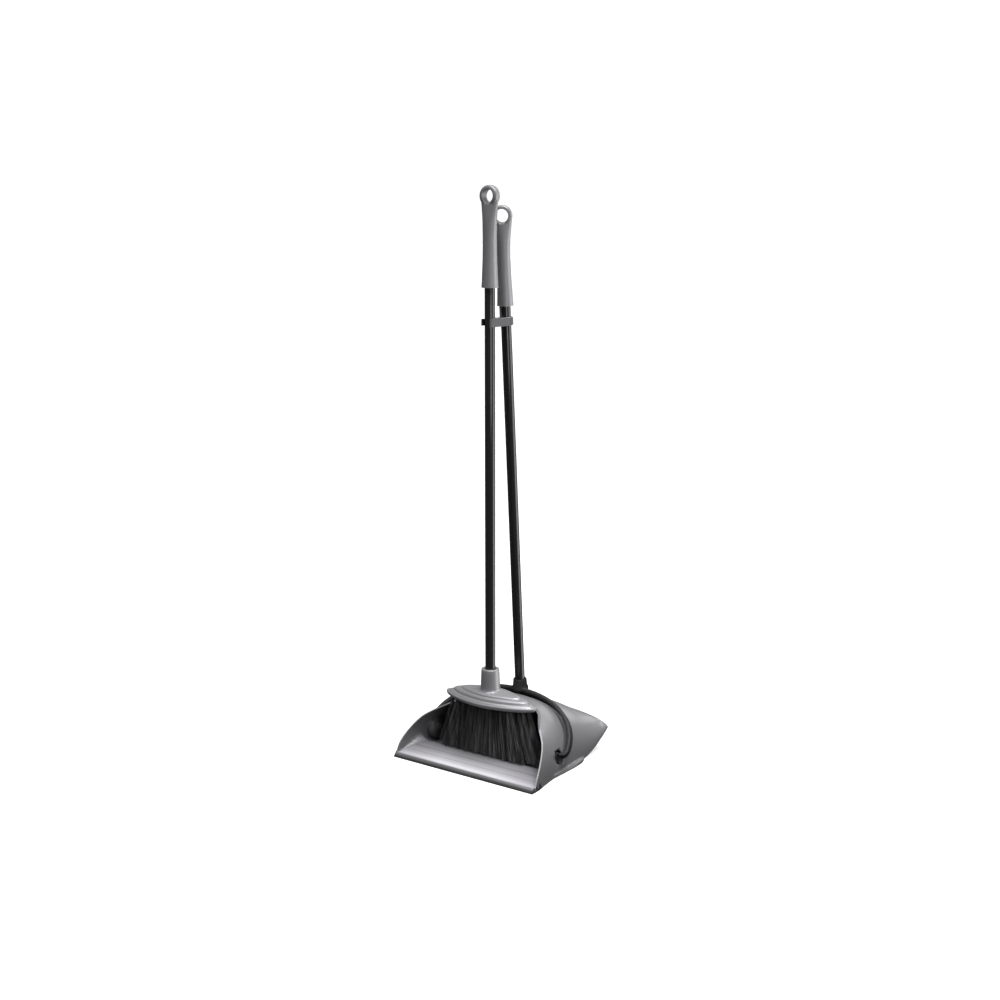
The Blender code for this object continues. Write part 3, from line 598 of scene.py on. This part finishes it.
def build_lip():
    """The soft lip strip, and the bead of the pan's own plastic that holds it down along the front,
    coloured a darker grey as painted shade.
    """
    lip = strip_along_front("lip_finish", LIP_OUTLINE, LIP_HIGH.x, RUBBER)
    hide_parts("lip_strip")
    bead_half = LIP_HIGH.x - BEAD_SHORTER
    strip_along_front("front_bead", BEAD_OUTLINE, bead_half, GREY_BEAD_SHADE)


build_pan()
build_lip()


# ---------------------------------------------------------------- the broom's head cover


HEAD_HALF = Vector(((HEAD_HIGH.x - HEAD_LOW.x) / 2, (HEAD_HIGH.y - HEAD_LOW.y) / 2))
RIM_Z = HEAD_LOW.z
SOCKET_TOP = HEAD_HIGH.z

# The cover in level rings: a pocket below, then from under the rim up to the dome's top. Each ring is
# its share of the length, its share of the depth and its height above the rim.
COVER_RINGS = (
    (0.880, 0.840, 0.0088), (0.895, 0.856, 0.0030),
    (0.905, 0.868, 0.0012), (0.925, 0.895, 0.0002), (0.952, 0.932, 0.0), (0.978, 0.968, 0.0008),
    (0.995, 0.991, 0.0024), (1.0, 1.0, 0.0040), (0.999, 0.999, 0.0052), (0.993, 0.990, 0.0061),
    (0.980, 0.974, 0.0066), (0.965, 0.955, 0.0066), (0.957, 0.945, 0.0062), (0.950, 0.936, 0.0065),
    (0.935, 0.918, 0.0074), (0.905, 0.884, 0.0086), (0.868, 0.846, 0.0096), (0.850, 0.827, 0.0098),
    (0.843, 0.820, 0.0096), (0.836, 0.812, 0.0103), (0.826, 0.802, 0.0117), (0.808, 0.786, 0.0130),
    (0.775, 0.758, 0.0141), (0.730, 0.724, 0.0149), (0.690, 0.696, 0.0154), (0.672, 0.684, 0.0155),
    (0.664, 0.678, 0.0153), (0.656, 0.672, 0.0158), (0.642, 0.662, 0.0169), (0.615, 0.644, 0.0179),
    (0.560, 0.612, 0.0187), (0.470, 0.570, 0.0194), (0.370, 0.530, 0.0198),
)

# The socket from its foot over its top edge and down its bore, as (radius, height).
SOCKET_PROFILE = (
    (0.0158, 0.0022), (0.0153, 0.0046), (0.0150, 0.0120), (0.0146, 0.0240), (0.0142, 0.0333),
    (0.0140, 0.0341), (0.0133, 0.0347), (0.0119, 0.0349), (0.0098, 0.0349), (0.0087, 0.0344),
    (0.0083, 0.0334), (0.0083, 0.0),
)
SOCKET_HEIGHT = 0.0349
SOCKET_FOOT_RADIUS = 0.0166
SOCKET_FOOT_RISE = 0.0010
SOCKET_BLEND = (0.40, 0.80, 0.97)
DOME_HEIGHT = 0.0200
LEAF_POWER = 1.64
SIDES = 144


def leaf(share_x, share_y, z):
    """A level ring of the cover's leaf shape."""
    ring = []
    for i in range(SIDES):
        turn = 2 * pi * i / SIDES
        x = abs(cos(turn)) ** (2 / LEAF_POWER) * HEAD_HALF.x * share_x
        y = abs(sin(turn)) ** (2 / LEAF_POWER) * HEAD_HALF.y * share_y
        if cos(turn) < 0:
            x = -x
        if sin(turn) < 0:
            y = -y
        ring.append(Vector((x, BROOM_Y + y, z)))
    return ring


def circle(radius, z):
    """A level ring about the broom's pole."""
    turns = [2 * pi * i / SIDES for i in range(SIDES)]
    return [Vector((radius * cos(turn), BROOM_Y + radius * sin(turn), z)) for turn in turns]


def mix_ring(first, second, part):
    """A ring part of the way from the first to the second."""
    return [a.lerp(b, part) for a, b in zip(first, second)]


def build_cover():
    """The tiered cover: a rim band, creases, the domed top and the socket with its bore."""
    top_z = RIM_Z + DOME_HEIGHT
    rings = [leaf(share_x, share_y, RIM_Z + rise) for share_x, share_y, rise in COVER_RINGS]
    dome = rings[-1]
    foot = circle(SOCKET_FOOT_RADIUS, top_z + SOCKET_FOOT_RISE)
    rings += [mix_ring(dome, foot, part) for part in SOCKET_BLEND]
    scale = (SOCKET_TOP - top_z) / SOCKET_HEIGHT
    rings += [circle(radius, top_z + rise * scale) for radius, rise in SOCKET_PROFILE]
    piece = loft("head_cover_finish", rings, GREY_HEAD)
    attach(piece, BROOM)
    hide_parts("broom_head_cover")


build_cover()


# ---------------------------------------------------------------- finished pieces


detailed("bail", HANDLE, BLACK_PLASTIC, 40.0)
detailed("bristle_block", BROOM, BLACK_INSERT_AND_SHADE)
detailed("dustpan_grip", HANDLE, GREY_GRIP, 45.0)
detailed("broom_grip", BROOM, GREY_GRIP, 45.0)
detailed("clip_body", HANDLE, GREY_GRIP, 40.0)
detailed("clip_jaw_liner", HANDLE, BLACK_INSERT_AND_SHADE, 40.0, 0.0004)

# The pieces that the strip light on the right shines on.
strip_receivers = bpy.data.collections.new("poles")
for gloss_piece in ("dustpan_grip", "broom_grip", "head_cover"):
    strip_receivers.objects.link(bpy.data.objects[gloss_piece + "_finish"])
for pole_node, pole_body in (("dustpan_pole", HANDLE), ("broom_pole", BROOM)):
    strip_receivers.objects.link(detailed(pole_node, pole_body, TUBE))
for inner_node, inner_body in (
    ("dustpan_pole_insert", HANDLE), ("dustpan_pole_plug", HANDLE),
    ("broom_pole_insert", BROOM), ("broom_pole_plug", BROOM),
    ("pivot_cap_left", PAN), ("pivot_cap_right", PAN),
    ("pivot_pin_left", PAN), ("pivot_pin_right", PAN),
):
    detailed(inner_node, inner_body, BLACK_INSERT_AND_SHADE)
for screw_node in ("head_screw_left", "head_screw_right"):
    detailed(screw_node, BROOM, STEEL)


# ---------------------------------------------------------------- stage, light and camera


FLOOR_HALF = 60.0
FLOOR_GLOW = 0.62


def floor():
    """A plain pale floor that the camera sees and that throws nothing back onto the set."""
    mesh = bpy.data.meshes.new("floor")
    corners = [(x * FLOOR_HALF, y * FLOOR_HALF, 0) for x, y in ((-1, -1), (1, -1), (1, 1), (-1, 1))]
    mesh.from_pydata(corners, [], [(0, 1, 2, 3)])
    material, nodes, links, shader = new_material("floor_white")
    vector = object_coordinates(nodes, links, PLAIN)
    grain = noise(nodes, links, vector, 3.0, 4.0)
    stops = ((0.3, (0.41, 0.41, 0.41, 1.0)), (0.8, (0.42, 0.42, 0.42, 1.0)))
    links.new(ramp(nodes, links, grain, stops), shader.inputs["Base Color"])
    shader.inputs["Roughness"].default_value = 0.9
    shader.inputs["Specular IOR Level"].default_value = 0.1
    shader.inputs["Emission Color"].default_value = WHITE
    shader.inputs["Emission Strength"].default_value = FLOOR_GLOW
    obj = add_object("floor", mesh, material, 35.0)
    obj.visible_diffuse = False
    obj.visible_glossy = False
    obj.visible_shadow = False


def area_light(name, place, aim, size, power, size_y=None):
    """A soft box at a place, turned to its aim."""
    data = bpy.data.lights.new(name, "AREA")
    data.shape = "RECTANGLE"
    data.size = size
    data.size_y = size_y or size
    data.energy = power
    obj = bpy.data.objects.new(name, data)
    bpy.context.scene.collection.objects.link(obj)
    obj.location = place
    obj.rotation_euler = (Vector(aim) - Vector(place)).to_track_quat("-Z", "Y").to_euler()
    return obj


# The sky lights the set as strongly as its height says; the camera sees a plain backdrop instead.
SKY_FROM, SKY_TO = -0.30, 0.50
SKY_LOW, SKY_HIGH = 0.11, 0.38
BACKDROP_STRENGTH = 1.05
SUN_ENERGY = 4.5
SUN_ANGLE = radians(56.0)
SUN_TILT = radians(8.0)


def sky():
    """The world: a sky that darkens downwards, and a white backdrop for the camera alone."""
    world = bpy.data.worlds.new("studio")
    bpy.context.scene.world = world
    world.use_nodes = True
    nodes = world.node_tree.nodes
    links = world.node_tree.links
    dome = nodes["Background"]
    dome.inputs["Color"].default_value = WHITE
    where = nodes.new("ShaderNodeTexCoord")
    split = nodes.new("ShaderNodeSeparateXYZ")
    links.new(where.outputs["Generated"], split.inputs["Vector"])
    strength = map_range(nodes, links, split.outputs["Z"], SKY_LOW, SKY_HIGH)
    strength.node.inputs["From Min"].default_value = SKY_FROM
    strength.node.inputs["From Max"].default_value = SKY_TO
    links.new(strength, dome.inputs["Strength"])
    backdrop = nodes.new("ShaderNodeBackground")
    backdrop.inputs["Color"].default_value = WHITE
    backdrop.inputs["Strength"].default_value = BACKDROP_STRENGTH
    rays = nodes.new("ShaderNodeLightPath")
    mix = nodes.new("ShaderNodeMixShader")
    links.new(rays.outputs["Is Camera Ray"], mix.inputs["Fac"])
    links.new(dome.outputs["Background"], mix.inputs[1])
    links.new(backdrop.outputs["Background"], mix.inputs[2])
    links.new(mix.outputs["Shader"], nodes["World Output"].inputs["Surface"])


def lights():
    """A tall strip light on the right, boxes above, beside and behind, and a soft sun overhead."""
    strip = area_light("strip_right", (0.90, 0.60, 0.25), (0.0, 0.0, 0.25), 0.85, 19.0, size_y=1.80)
    strip.light_linking.receiver_collection = strip_receivers
    area_light("top", (0.62, 0.10, 2.1), (0.05, 0.0, 0.1), 0.55, 24.0)
    area_light("side", (0.75, -0.45, 0.55), (0.13, -0.06, 0.06), 0.35, 1.7)
    back = area_light("back", (0.00, 1.50, 0.90), (0.08, -0.05, 0.08), 0.8, 4.0)
    back.visible_camera = False
    sun = bpy.data.lights.new("overhead", "SUN")
    sun.energy = SUN_ENERGY
    sun.angle = SUN_ANGLE
    overhead = bpy.data.objects.new("overhead", sun)
    overhead.rotation_euler = (SUN_TILT, SUN_TILT, 0.0)
    bpy.context.scene.collection.objects.link(overhead)


# Where the photograph was taken from, and which way it looks.
SENSOR_WIDTH = 36.0
LENS = 50.6
AZIMUTH = radians(37.0)
DISTANCE = 2.0427
EYE_HEIGHT = 0.825
AIM = Vector((-0.5674, 0.8014, -0.1895)).normalized()
RIGHT = Vector((0.8162, 0.5778, 0.0)).normalized()


def camera():
    """The camera stands in front and to the right, near the grips' height, and looks slightly down."""
    data = bpy.data.cameras.new("camera")
    data.sensor_width = SENSOR_WIDTH
    data.lens = LENS
    obj = bpy.data.objects.new("camera", data)
    bpy.context.scene.collection.objects.link(obj)
    up = RIGHT.cross(AIM).normalized()
    place = Matrix((RIGHT, up, -AIM)).transposed().to_4x4()
    y = FRONT_Y - DISTANCE * cos(AZIMUTH)
    place.translation = Vector((DISTANCE * sin(AZIMUTH), y, EYE_HEIGHT))
    obj.matrix_world = place
    bpy.context.scene.camera = obj


floor()
sky()
lights()
camera()
bpy.context.scene.view_settings.view_transform = "Standard"
